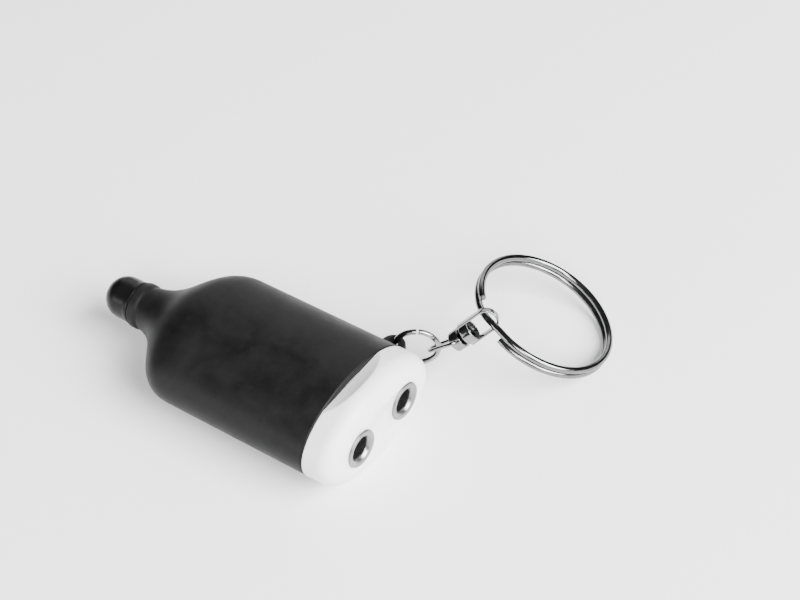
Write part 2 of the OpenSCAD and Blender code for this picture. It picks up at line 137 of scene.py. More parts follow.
class Graph(NodeMaker):
    """Small helper for building one material's nodes."""

    def __init__(self, name: str) -> None:
        """Make an empty node material.

        Args:
            name: the record's slot; the material's own name sets it apart from the frame's plain one.
        """
        self.material = bpy.data.materials.new(look_name(name))
        self.material.use_nodes = True
        super().__init__(self.material.node_tree)
        self.tree.nodes.clear()
        output = self.node("ShaderNodeOutputMaterial")
        self.shader = self.node("ShaderNodeBsdfPrincipled")
        self.tree.links.new(self.shader.outputs["BSDF"], output.inputs["Surface"])
        self.place = self.node("ShaderNodeTexCoord").outputs["Object"]

    def set(self, **values: object) -> None:
        """Set uniform values on the shader's own sockets, with underscores for spaces."""
        for key, value in values.items():
            self.shader.inputs[key.replace("_", " ")].default_value = value

    def mapped(self, scale: Point, turn: Point = (0, 0, 0)) -> bpy.types.NodeSocket:
        """Object coordinates after a scale and a turn.

        Args:
            scale: scale along each axis, per metre.
            turn: rotation in radians.

        Returns:
            The mapped vector socket.
        """
        return self.node("ShaderNodeMapping", {
            "Scale": scale, "Rotation": turn, "Vector": self.place}).outputs["Vector"]

    def noise(self, scale: float, detail: float = 3, rough: float = 0.5,
              vector: bpy.types.NodeSocket | None = None, warp: float = 0) -> bpy.types.NodeSocket:
        """Fractal noise in object coordinates.

        Args:
            scale: features per metre.
            detail: octaves.
            rough: weight of the finer octaves.
            vector: coordinates, object coordinates if left out.
            warp: distortion of the pattern.

        Returns:
            The noise value socket.
        """
        return self.node("ShaderNodeTexNoise", {
            "Scale": scale, "Detail": detail, "Roughness": rough, "Distortion": warp,
            "Vector": vector or self.place}).outputs["Fac"]

    def mix(self, share: bpy.types.NodeSocket | float, a: object, b: object) -> bpy.types.NodeSocket:
        """Blend of two colours.

        Args:
            share: factor, a socket or a number.
            a: colour or socket at factor 0.
            b: colour or socket at factor 1.

        Returns:
            The blended colour socket.
        """
        return self.node("ShaderNodeMix", {0: share, 6: rgba(a), 7: rgba(b)}, data_type="RGBA").outputs[2]

    def span(self, value: bpy.types.NodeSocket, low: float, high: float,
             start: float = 0, end: float = 1) -> bpy.types.NodeSocket:
        """Map a value from start..end to low..high, clamped.

        Args:
            value: socket to map.
            low: result at start.
            high: result at end.
            start: value that gives low.
            end: value that gives high.

        Returns:
            The mapped socket.
        """
        return self.node("ShaderNodeMapRange", {
            "From Min": start, "From Max": end, "To Min": low, "To Max": high,
            "Value": value}).outputs["Result"]

    def bumps(self, *layers: tuple[bpy.types.NodeSocket, float, float]) -> None:
        """Chain bump layers into the shader's normal.

        Args:
            layers: (height socket, strength, distance in metres) for each layer.
        """
        before: dict[str | int, object] = {}
        for height, strength, distance in layers:
            made = self.node("ShaderNodeBump", {"Strength": strength, "Distance": distance,
                                                "Height": height, **before})
            before = {"Normal": made.outputs["Normal"]}
        self.to(before["Normal"], "Normal")

    def to(self, socket: bpy.types.NodeSocket, name: str) -> None:
        """Link a socket to one of the shader's inputs."""
        self.tree.links.new(socket, self.shader.inputs[name])


@dataclass(frozen=True)
class RubberFinish:
    """Moulded rubber: mottled colour, handling marks, specks of dust and a fine grain."""

    name: str
    dark: Point
    light: Point
    rough_low: float
    rough_high: float
    grain: float = 0.25
    dust: float = 0.5
    specular: float = 0.5

    def build(self) -> bpy.types.Material:
        """Make the material."""
        g = Graph(self.name)
        clouds = g.noise(160, 4, 0.6, warp=0.6)
        rubbed = g.noise(700, 3, 0.6)
        specks = g.noise(5200, 2, 0.5)
        colour = g.mix(g.span(clouds, 0, 1, 0.32, 0.7), self.dark, self.light)
        colour = g.mix(g.span(rubbed, 0, 0.6, 0.5, 0.75), colour, self.light)
        dusty = tuple(min(1.0, 2.2 * c + 0.012) for c in self.light)
        colour = g.mix(g.span(specks, 0, self.dust, 0.66, 0.78), colour, dusty)
        g.to(colour, "Base Color")
        g.to(g.span(clouds, self.rough_low, self.rough_high, 0.3, 0.7), "Roughness")
        g.set(Specular_IOR_Level=self.specular)
        g.bumps((clouds, 0.25, 0.00012), (g.noise(9000, 3, 0.6), self.grain, 0.00002),
                (g.noise(1500, 4, 0.7), self.grain, 0.00006))
        return g.material


@dataclass(frozen=True)
class PlasticFinish:
    """Injection-moulded plastic with flow clouding, light soiling and a satin skin."""

    name: str
    base: Point
    soil: Point
    rough_low: float = 0.3
    rough_high: float = 0.45
    milky: float = 0.12

    def build(self) -> bpy.types.Material:
        """Make the material."""
        g = Graph(self.name)
        flow = g.noise(130, 3, 0.5, warp=1.0)
        handled = g.noise(900, 4, 0.65)
        colour = g.mix(g.span(flow, 0, 0.6, 0.35, 0.7), self.base, self.soil)
        colour = g.mix(g.span(handled, 0, 0.25, 0.55, 0.8), colour, self.soil)
        g.to(colour, "Base Color")
        g.to(g.span(handled, self.rough_low, self.rough_high, 0.3, 0.7), "Roughness")
        g.set(Subsurface_Weight=self.milky, Subsurface_Radius=(1.0, 0.95, 0.9), Subsurface_Scale=0.0006)
        g.bumps((g.noise(6500, 3, 0.6), 0.12, 0.00001), (flow, 0.15, 0.00005))
        return g.material


@dataclass(frozen=True)
class MetalFinish:
    """Plated or turned metal with fine scratches, hazy patches and slight tarnish."""

    name: str
    base: Point
    tarnish: Point
    rough_low: float
    rough_high: float
    stretch: Point = (300.0, 4200.0, 4200.0)
    scratch: float = 0.15
    anisotropy: float = 0.0

    def build(self) -> bpy.types.Material:
        """Make the material."""
        g = Graph(self.name)
        haze = g.noise(420, 4, 0.6)
        lines = g.noise(1.0, 4, 0.7, g.mapped(self.stretch, (0.2, 0.1, 0.65)))
        pits = g.noise(3800, 3, 0.6)
        g.to(g.mix(g.span(haze, 0, 0.7, 0.42, 0.78), self.base, self.tarnish), "Base Color")
        blend = g.mix(0.45, haze, lines)
        g.to(g.span(blend, self.rough_low, self.rough_high, 0.35, 0.68), "Roughness")
        g.set(Metallic=1.0, Anisotropic=self.anisotropy)
        g.bumps((lines, self.scratch, 0.000012), (pits, 0.08, 0.00001), (haze, 0.12, 0.00004))
        return g.material


@dataclass(frozen=True)
class BoardFinish:
    """Green circuit board with copper tracks under the lacquer and a pale legend."""

    name: str

    def build(self) -> bpy.types.Material:
        """Make the material."""
        g = Graph(self.name)
        cells = g.node("ShaderNodeTexBrick", {
            "Scale": 420.0, "Mortar Size": 0.055, "Brick Width": 0.9, "Row Height": 0.38,
            "Vector": g.place})
        tone = g.noise(500, 3, 0.5)
        lacquer = g.mix(tone, (0.012, 0.10, 0.035), (0.03, 0.18, 0.06))
        track = g.mix(tone, (0.05, 0.26, 0.08), (0.10, 0.32, 0.09))
        g.to(g.mix(cells.outputs["Fac"], lacquer, track), "Base Color")
        g.to(g.span(tone, 0.22, 0.4), "Roughness")
        g.bumps((cells.outputs["Fac"], 0.3, 0.00003), (g.noise(5000, 2), 0.08, 0.00001))
        return g.material


@dataclass(frozen=True)
class FloorFinish:
    """Pale paper sweep with a barely visible tooth."""

    name: str
    base: Point

    def build(self) -> bpy.types.Material:
        """Make the material."""
        g = Graph(self.name)
        soft = g.noise(14, 3)
        g.to(g.mix(soft, self.base, tuple(0.985 * c for c in self.base)), "Base Color")
        g.set(Roughness=0.9, Specular_IOR_Level=0.1)
        g.bumps((g.noise(2500, 2), 0.05, 0.00002))
        return g.material


class Finish(Enum):
    """Every finish of the object, by the record's material slot."""

    SLEEVE = RubberFinish("sleeve_rubber", (0.0035, 0.0035, 0.0036), (0.0085, 0.0085, 0.0087), 0.42, 0.55,
                          specular=0.13)
    NIB = RubberFinish("nib_rubber", (0.002, 0.002, 0.002), (0.0045, 0.0045, 0.0045), 0.26, 0.34,
                       grain=0.08, dust=0.15, specular=0.13)
    STEM = MetalFinish("stem_steel", (0.5, 0.5, 0.52), (0.36, 0.36, 0.37), 0.25, 0.45)
    CAP = PlasticFinish("cap_plastic", (0.78, 0.78, 0.785), (0.70, 0.70, 0.705))
    SHELL = PlasticFinish("shell_plastic", (0.77, 0.77, 0.775), (0.70, 0.70, 0.70), 0.35, 0.5)
    BOARD = BoardFinish("board")
    CONTACT = MetalFinish("contact_metal", (0.80, 0.62, 0.30), (0.60, 0.44, 0.2), 0.18, 0.38)
    BUSHING = MetalFinish("bushing_metal", (0.24, 0.24, 0.24), (0.17, 0.17, 0.17), 0.24, 0.4,
                          stretch=(5200.0, 5200.0, 420.0), scratch=0.25)
    BLACK = PlasticFinish("black_plastic", (0.012, 0.012, 0.013), (0.02, 0.02, 0.02), 0.4, 0.6, 0.0)
    PLUG = MetalFinish("plug_metal", (0.78, 0.78, 0.79), (0.66, 0.66, 0.66), 0.1, 0.22,
                       stretch=(5200.0, 420.0, 420.0), scratch=0.2)
    CHAIN = MetalFinish("chain_nickel", (0.25, 0.25, 0.253), (0.14, 0.14, 0.142), 0.1, 0.24, scratch=0.22)
    RING = MetalFinish("ring_steel", (0.18, 0.18, 0.183), (0.1, 0.1, 0.102), 0.1, 0.22, scratch=0.2)

    def material(self) -> bpy.types.Material:
        """The finish's material, made once."""
        return bpy.data.materials.get(look_name(self.value.name)) or self.value.build()


# ---------------------------------------------------------------- mesh helpers


def object_from(name: str, bm: bmesh.types.BMesh) -> bpy.types.Object:
    """Object in the scene from a bmesh, which is freed.

    Args:
        name: name of the object and its mesh.
        bm: the mesh in metres.

    Returns:
        The new object, at the origin.
    """
    mesh = bpy.data.meshes.new(name)
    bm.to_mesh(mesh)
    bm.free()
    made = bpy.data.objects.new(name, mesh)
    bpy.context.scene.collection.objects.link(made)
    return made


def skin(rings: list[list[Vector]], looped: bool = False) -> bmesh.types.BMesh:
    """Closed mesh through rows of points.

    Args:
        rings: rows of the same number of points, in millimetres.
        looped: joins the last row to the first instead of closing the ends.

    Returns:
        The mesh in metres, cleaned, with its faces outwards.
    """
    bm = bmesh.new()
    rows = [[bm.verts.new(p * MM) for p in ring] for ring in rings]
    spans = len(rows) if looped else len(rows) - 1
    for i in range(spans):
        here, after = rows[i], rows[(i + 1) % len(rows)]
        for j in range(len(here)):
            k = (j + 1) % len(here)
            bm.faces.new((here[j], here[k], after[k], after[j]))
    if not looped:
        for row in (rows[0], rows[-1]):
            if (row[0].co - row[len(row) // 2].co).length > MERGE_M:
                bm.faces.new(row)
    bmesh.ops.remove_doubles(bm, verts=bm.verts, dist=MERGE_M)
    bmesh.ops.dissolve_degenerate(bm, edges=bm.edges, dist=SLIVER_M)
    bmesh.ops.recalc_face_normals(bm, faces=bm.faces)
    return bm


def filleted(corners: list[Corner], closed: bool = True, steps: int = 5) -> list[tuple[float, float]]:
    """Profile with its corners rounded.

    Args:
        corners: (along, radius, fillet) of each corner.
        closed: the last corner is joined to the first.
        steps: points in each rounded corner.

    Returns:
        (along, radius) points.
    """
    count = len(corners)
    points: list[tuple[float, float]] = []
    for i, (x, r, fillet) in enumerate(corners):
        if fillet <= 0 or (not closed and i in (0, count - 1)):
            points.append((x, r))
            continue
        here = Vector((x, r))
        back = Vector(corners[i - 1][:2]) - here
        ahead = Vector(corners[(i + 1) % count][:2]) - here
        reach = min(fillet, back.length * 0.49, ahead.length * 0.49)
        start, end = here + back.normalized() * reach, here + ahead.normalized() * reach
        for s in range(steps + 1):
            t = s / steps
            p = start * (1 - t) ** 2 + here * 2 * t * (1 - t) + end * t * t
            points.append((p.x, p.y))
    return points


def oval(x: float, a: float, b: float, count: int) -> list[Vector]:
    """Points round an oval across X with half width a and half thickness b."""
    return [Vector((x, a * math.cos(2 * math.pi * j / count), b * math.sin(2 * math.pi * j / count)))
            for j in range(count)]


def spread(start: float, end: float, count: int) -> list[float]:
    """Evenly spaced numbers from start to end, both included."""
    return np.linspace(start, end, count).tolist()


def turned(profile: list[tuple[float, float]], place: Matrix, closed: bool = True,
           segments: int = 96) -> bmesh.types.BMesh:
    """Solid of revolution about the placed X axis.

    Args:
        profile: (along, radius) points, in millimetres.
        place: matrix that takes the turning axis, local X, to the frame, in millimetres.
        closed: the profile is a loop; otherwise its ends are closed or lie on the axis.
        segments: faces round the axis.

    Returns:
        The mesh in metres.
    """
    return skin([[place @ p for p in oval(x, r, r, segments)] for x, r in profile], looped=closed)


def lathe(name: str, corners: list[Corner], place: Matrix, closed: bool = True, steps: int = 5,
          segments: int = 96) -> bpy.types.Object:
    """Object turned from a profile with rounded corners.

    Args:
        name: name of the object.
        corners: (along, radius, fillet) of each corner.
        place: matrix that takes the turning axis to the frame.
        closed: the profile is a loop.
        steps: points in each rounded corner.
        segments: faces round the axis.

    Returns:
        The object.
    """
    profile = filleted(corners, closed=closed, steps=steps)
    return object_from(name, turned(profile, place, closed, segments))


def box_mesh(low: Point, high: Point, place: Matrix) -> bmesh.types.BMesh:
    """Box between two corners, in millimetres, placed in the frame."""
    bm = bmesh.new()
    bmesh.ops.create_cube(bm, size=1.0)
    lo, hi = Vector(low), Vector(high)
    for v in bm.verts:
        v.co = (place @ (lo + Vector((v.co.x + 0.5, v.co.y + 0.5, v.co.z + 0.5)) * (hi - lo))) * MM
    return bm


def baked(made: bpy.types.Object) -> bpy.types.Object:
    """Turn an object's evaluated shape into its plain mesh and drop its modifiers.

    Args:
        made: the object.

    Returns:
        The same object.
    """
    graph = bpy.context.evaluated_depsgraph_get()
    mesh = bpy.data.meshes.new_from_object(made.evaluated_get(graph), depsgraph=graph)
    made.modifiers.clear()
    old = made.data
    made.data = mesh
    mesh.name = made.name
    bpy.data.meshes.remove(old)
    return made


def combine(made: bpy.types.Object, other: bpy.types.Object, how: str) -> bpy.types.Object:
    """Exact boolean of two objects; the second is removed.

    Args:
        made: the object that keeps the result.
        other: the tool.
        how: UNION, DIFFERENCE or INTERSECT.

    Returns:
        The first object.
    """
    cut = made.modifiers.new("cut", "BOOLEAN")
    cut.operation, cut.object, cut.solver = how, other, "EXACT"
    baked(made)
    bpy.data.objects.remove(other)
    return cleaned(made, SEAM_M)


def dressed(made: bpy.types.Object, finish: Finish, body: Body, *nodes: str,
            crease: float = 38.0) -> bpy.types.Object:
    """Smooth a piece, give it its finish and put it on its body.

    Args:
        made: the piece.
        finish: its finish, whose name is the record's slot.
        body: the CAD body that it rides on.
        nodes: CAD nodes that it stands for.
        crease: edges sharper than this many degrees stay sharp.

    Returns:
        The piece.
    """
    mesh = made.data
    mesh.materials.clear()
    mesh.materials.append(finish.material())
    for polygon in mesh.polygons:
        polygon.use_smooth = True
        polygon.material_index = 0
    mesh.set_sharp_from_angle(angle=math.radians(crease))
    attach(made, body.value)
    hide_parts(*nodes)
    LOG.info("%s: %d faces on %s", made.name, len(mesh.polygons), body.value)
    return made


# ---------------------------------------------------------------- geometry node trees


class Tree(NodeMaker):
    """Small helper for building one Geometry Nodes tree with named inputs."""

    def __init__(self, name: str) -> None:
        """Make a tree with one geometry input and one geometry output.

        Args:
            name: name of the tree.
        """
        super().__init__(bpy.data.node_groups.new(name, "GeometryNodeTree"))
        for way in ("INPUT", "OUTPUT"):
            self.tree.interface.new_socket("Geometry", in_out=way, socket_type="NodeSocketGeometry")
        self.start = self.node("NodeGroupInput")
        self.end = self.node("NodeGroupOutput")

    def number(self, name: str, whole: bool = False) -> bpy.types.NodeSocket:
        """Add a named number input and return its socket inside the tree."""
        kind = "NodeSocketInt" if whole else "NodeSocketFloat"
        self.tree.interface.new_socket(name, in_out="INPUT", socket_type=kind)
        return self.start.outputs[name]

    def dress(self) -> bpy.types.NodeSocket:
        """Add the named material input and return its socket inside the tree."""
        self.tree.interface.new_socket("Finish", in_out="INPUT", socket_type="NodeSocketMaterial")
        return self.start.outputs["Finish"]

    def math(self, how: str, a: object, b: object = 0.0) -> bpy.types.NodeSocket:
        """Math node of two values, sockets or numbers."""
        return self.node("ShaderNodeMath", {0: a, 1: b}, operation=how).outputs[0]

    def close(self, geometry: bpy.types.NodeSocket, finish: bpy.types.NodeSocket
              ) -> bpy.types.GeometryNodeTree:
        """End the tree in smooth shading, Realize Instances and Set Material.

        Args:
            geometry: the finished geometry.
            finish: the material socket.

        Returns:
            The tree.
        """
        smooth = self.node("GeometryNodeSetShadeSmooth", {"Geometry": geometry})
        whole = self.node("GeometryNodeRealizeInstances", {"Geometry": smooth.outputs[0]})
        last = self.node("GeometryNodeSetMaterial", {"Geometry": whole.outputs[0], "Material": finish})
        self.tree.links.new(last.outputs[0], self.end.inputs[0])
        return self.tree

    def wire(self, edges: bpy.types.NodeSocket, radius: bpy.types.NodeSocket,
             sides: bpy.types.NodeSocket, finish: bpy.types.NodeSocket) -> bpy.types.GeometryNodeTree:
        """End the tree in round wire with closed ends along a chain of edges."""
        path = self.node("GeometryNodeMeshToCurve", {"Mesh": edges}).outputs[0]
        ring = self.node("GeometryNodeCurvePrimitiveCircle", {"Resolution": sides, "Radius": radius})
        swept = self.node("GeometryNodeCurveToMesh", {
            "Curve": path, "Profile Curve": ring.outputs[0], "Fill Caps": True})
        return self.close(swept.outputs[0], finish)


def sweep_tree() -> bpy.types.GeometryNodeTree:
    """Tree that sweeps round wire along the object's own edges."""
    t = Tree("wire_along_path")
    radius, sides, finish = t.number("Wire Radius"), t.number("Sides", True), t.dress()
    return t.wire(t.start.outputs[0], radius, sides, finish)


def coil_tree() -> bpy.types.GeometryNodeTree:
    """Tree for a double turn of wire that drops by a wire's thickness where it crosses."""
    t = Tree("double_turn_coil")
    coil, wire_r, level = t.number("Coil Radius"), t.number("Wire Radius"), t.number("Level")
    start, gap = t.number("Start"), t.number("Gap")
    steps, sides, finish = t.number("Steps", True), t.number("Sides", True), t.dress()
    line = t.node("GeometryNodeMeshLine", {"Count": t.math("ADD", steps, 1.0)})
    index = t.node("GeometryNodeInputIndex").outputs[0]
    share = t.math("DIVIDE", index, steps)
    run = t.math("MULTIPLY", share, t.math("SUBTRACT", 4 * math.pi, gap))
    angle = t.math("SUBTRACT", start, run)
    turn = t.math("SUBTRACT", 2 * math.pi, gap)
    past = t.math("DIVIDE", t.math("SUBTRACT", run, turn), gap)
    cross = t.math("MINIMUM", t.math("MAXIMUM", past, 0.0), 1.0)
    height = t.math("MULTIPLY", level, t.math("COSINE", t.math("MULTIPLY", cross, math.pi)))
    place = t.node("ShaderNodeCombineXYZ", {
        0: t.math("MULTIPLY", coil, t.math("COSINE", angle)),
        1: t.math("MULTIPLY", coil, t.math("SINE", angle)), 2: height}).outputs[0]
    moved = t.node("GeometryNodeSetPosition", {"Geometry": line.outputs[0], "Position": place})
    return t.wire(moved.outputs[0], wire_r, sides, finish)


def pair_tree() -> bpy.types.GeometryNodeTree:
    """Tree that sets the object's own mesh out in a row along Y, centred."""
    t = Tree("row_along_width")
    pitch, count, finish = t.number("Pitch"), t.number("Count", True), t.dress()
    span = t.math("MULTIPLY", t.math("SUBTRACT", count, 1.0), pitch)
    first = t.node("ShaderNodeCombineXYZ", {1: t.math("MULTIPLY", span, -0.5)}).outputs[0]
    step = t.node("ShaderNodeCombineXYZ", {1: pitch}).outputs[0]
    row = t.node("GeometryNodeMeshLine", {"Count": count, "Start Location": first, "Offset": step})
    spots = t.node("GeometryNodeMeshToPoints", {"Mesh": row.outputs[0]}).outputs[0]
    copies = t.node("GeometryNodeInstanceOnPoints", {"Points": spots, "Instance": t.start.outputs[0]})
    return t.close(copies.outputs[0], finish)


def grown(made: bpy.types.Object, tree: bpy.types.GeometryNodeTree, **inputs: object) -> bpy.types.Object:
    """Run a tree on an object and keep the result as its plain mesh.

    Args:
        made: the object that the tree starts from.
        tree: the Geometry Nodes tree.
        inputs: values of its named inputs, with underscores for spaces.

    Returns:
        The same object.
    """
    modifier = made.modifiers.new("grown", "NODES")
    modifier.node_group = tree
    ids = {item.name: item.identifier for item in tree.interface.items_tree
           if item.item_type == "SOCKET" and item.in_out == "INPUT"}
    for name, value in inputs.items():
        modifier[ids[name.replace("_", " ")]] = value
    made.update_tag()
    return baked(made)


def path_object(name: str, points: list[Vector]) -> bpy.types.Object:
    """Object whose mesh is one open chain of edges.

    Args:
        name: name of the object.
        points: the chain's points, in millimetres.

    Returns:
        The object.
    """
    mesh = bpy.data.meshes.new(name)
    mesh.from_pydata([p * MM for p in points], [(i, i + 1) for i in range(len(points) - 1)], [])
    made = bpy.data.objects.new(name, mesh)
    bpy.context.scene.collection.objects.link(made)
    return made


def cleaned(made: bpy.types.Object, seam: float = SLIVER_M) -> bpy.types.Object:
    """Merge doubles, drop slivers and point the faces outwards.

    Args:
        made: the object.
        seam: points closer than this many metres become one.

    Returns:
        The same object.
    """
    bm = bmesh.new()
    bm.from_mesh(made.data)
    bmesh.ops.remove_doubles(bm, verts=bm.verts, dist=seam)
    bmesh.ops.dissolve_degenerate(bm, edges=bm.edges, dist=seam)
    bmesh.ops.recalc_face_normals(bm, faces=bm.faces)
    bm.to_mesh(made.data)
    bm.free()
    return made


def arc(centre: Vector, u: Vector, v: Vector, radius: float, start: float, end: float,
        steps: int) -> list[Vector]:
    """Points on an arc in the plane of u and v, angles in degrees."""
    return [centre + radius * (math.cos(math.radians(a)) * u + math.sin(math.radians(a)) * v)
            for a in (start + (end - start) * i / steps for i in range(steps + 1))]


def toward(azimuth: float, elevation: float) -> Vector:
    """Unit vector with this azimuth and elevation, in degrees."""
    a, e = math.radians(azimuth), math.radians(elevation)
    return Vector((math.cos(e) * math.cos(a), math.cos(e) * math.sin(a), math.sin(e)))


# ---------------------------------------------------------------- sleeve and nib


@dataclass
class FlaskSleeve:
    """The rubber sleeve with its side lug, the nib on its neck and the nib's stem."""

    half_w: float = 12.9
    half_t: float = 7.55
    mouth_x: float = 26.0
    neck_end: float = -15.7
    shoulder_l: float = 15.2
    wall: float = 1.3
    neck_r: float = 3.5
    collar_r: float = 3.78
    collar_l: float = 1.25
    bore_r: float = 2.37
    stem_r: float = 1.22
    neck_wall: float = 1.7
    rim_round: float = 0.34
    around: int = 168
    lug_centre: Point = (23.45, 13.4, 0.0)
    lug_hole: Point = (23.3, 13.9, 0.0)
    lug_r: float = 2.0
    lug_t: float = 1.8
    lug_hole_r: float = 0.85
    lug_fillet: float = 0.62
    lug_root_y: float = 12.4
    lug_root_reach: float = 1.5
    lug_inner_y: float = 11.95
    nib_r: float = 3.45
    nib_l: float = 6.25
    nib_gap: float = 0.15
    nib_flare: float = 0.14

    def curve(self, x: float, w: float, t: float, neck: float) -> tuple[float, float]:
        """Half width and half thickness of the S-curved shoulder at x.

        Args:
            x: place along the sleeve.
            w: half width of the straight part.
            t: half thickness of the straight part.
            neck: radius at the neck.

        Returns:
            (half width, half thickness).
        """
        shoulder_x = self.neck_end + self.shoulder_l
        if x >= shoulder_x:
            return w, t
        a, b = self.neck_end, self.neck_end + 0.6 * self.shoulder_l
        c, d = shoulder_x - 0.505 * self.shoulder_l, shoulder_x
        low, high = 0.0, 1.0
        for _ in range(40):
            u = (low + high) / 2
            at = a * (1 - u) ** 3 + 3 * b * (1 - u) ** 2 * u + 3 * c * (1 - u) * u * u + d * u ** 3
            low, high = (u, high) if at < x else (low, u)
        grow = 3 * (1 - u) * u * u + u ** 3
        return neck + (w - neck) * grow, neck + (t - neck) * grow

    def rows(self) -> list[tuple[float, float, float]]:
        """Sections (x, half width, half thickness) from the neck's end over the outside and back inside."""
        end = self.neck_end
        rows: list[tuple[float, float, float]] = []
        collar = filleted([(end, self.stem_r, 0), (end, self.collar_r, 0.3),
                           (end + self.collar_l, self.collar_r, 0.28),
                           (end + self.collar_l + 0.45, self.neck_r + 0.04, 0.35),
                           (end + 3.0, self.neck_r + 0.06, 0)], closed=False, steps=6)
        for x, r in collar[:-1]:
            rows.append((x, r, r))
        for x in spread(end + 2.1, end + self.shoulder_l, 44):
            rows.append((x, *self.curve(x, self.half_w, self.half_t, self.neck_r)))
        for x in spread(0.2, self.mouth_x - self.rim_round - 0.1, 12):
            rows.append((x, self.half_w, self.half_t))
        for side, base in ((1, 0.0), (-1, self.wall)):
            angles = range(0, 91, 15) if side > 0 else range(90, -1, -15)
            for angle in angles:
                s, c = math.sin(math.radians(angle)), math.cos(math.radians(angle))
                inset = base + side * self.rim_round * (1 - c)
                x = self.mouth_x - self.rim_round * (1 - s)
                rows.append((x, self.half_w - inset, self.half_t - inset))
        w, t = self.half_w - self.wall, self.half_t - self.wall
        for x in spread(self.mouth_x - 2, 0.0, 8):
            rows.append((x, w, t))
        for x in spread(-0.6, end + self.neck_wall, 30):
            rows.append((x, *self.curve(x, w, t, self.bore_r)))
        rows.append((end + self.neck_wall - 0.3, self.bore_r, self.bore_r))
        rows.append((end + self.neck_wall - 0.3, self.stem_r, self.stem_r))
        return rows

    def build_sleeve(self) -> None:
        """Make the sleeve in one piece with its lug."""
        rings = [oval(x, a, b, self.around) for x, a, b in self.rows()]
        sleeve = object_from("sleeve_rubber_body", skin(rings, looped=True))
        combine(sleeve, self.build_lug(), "UNION")
        half = self.lug_t / 2 + 0.35
        flare = [(-half, 0.0), (-half, self.lug_hole_r + 0.6), (-half + 0.35, self.lug_hole_r + 0.26),
                 (-half + 0.52, self.lug_hole_r + 0.07), (-half + 0.72, self.lug_hole_r)]
        profile = flare + [(-x, r) for x, r in reversed(flare)]
        upright = Matrix.Translation(self.lug_hole) @ X_TO_Z
        cutter = object_from("lug_hole_cutter", turned(profile, upright, closed=False, segments=48))
        combine(sleeve, cutter, "DIFFERENCE")
        dressed(sleeve, Finish.SLEEVE, Body.SLEEVE, "rubber_sleeve")

    def build_lug(self) -> bpy.types.Object:
        """Rounded eyelet tab whose root spreads into the sleeve.

        Returns:
            The lug as a separate closed object.
        """
        half = self.lug_t / 2
        profile = filleted([(-half, 0, 0), (-half, self.lug_r, self.lug_fillet),
                            (half, self.lug_r, self.lug_fillet), (half, 0, 0)], closed=False, steps=8)
        rows = [(-half, self.lug_r * s) for s in (0.0, 0.2, 0.4, 0.6)] + profile[1:-1]
        rows += [(half, self.lug_r * s) for s in (0.6, 0.4, 0.2, 0.0)]
        upright = Matrix.Translation(self.lug_centre) @ X_TO_Z
        lug = object_from("lug", turned(rows, upright, closed=False, segments=72))
        for v in lug.data.vertices:
            x, y, z = v.co / MM
            near = min(1.0, max(0.0, 1 - (y - self.lug_root_y) / self.lug_root_reach)) ** 2
            spread = self.lug_centre[0] + (x - self.lug_centre[0]) * (1 + 0.35 * near)
            v.co = Vector((spread, max(y, self.lug_inner_y), z * (1 + 0.3 * near))) * MM
        return lug

    def build_nib(self) -> None:
        """Make the hollow rubber nib."""
        seat, r = self.neck_end - self.nib_gap, self.nib_r
        dome = r * 0.96
        wall = 0.7
        tip = self.neck_end - self.nib_l + dome
        outer = filleted([(seat, self.stem_r, 0), (seat, r + self.nib_flare, 0.16),
                          (seat - 0.55, r + self.nib_flare * 0.8, 0.25), (seat - 1.0, r, 0.3),
                          (tip, r, 0)], closed=False, steps=6)
        outer += [(tip - dome * math.sin(a), r * math.cos(a)) for a in spread(0.06, math.pi / 2, 22)]
        inner_r = r - wall
        inner = [(tip - (dome - wall) * math.sin(a), inner_r * math.cos(a))
                 for a in spread(math.pi / 2, 0, 16)]
        inner += [(seat - 1.9, inner_r), (seat - 1.9, self.stem_r)]
        nib = object_from("stylus_nib_rubber", turned(outer + inner, AXIS_X, closed=True, segments=128))
        dressed(nib, Finish.NIB, Body.SLEEVE, "stylus_nib")

    def build(self) -> None:
        """Make every piece of the sleeve."""
        self.build_sleeve()
        self.build_nib()


# ---------------------------------------------------------------- core


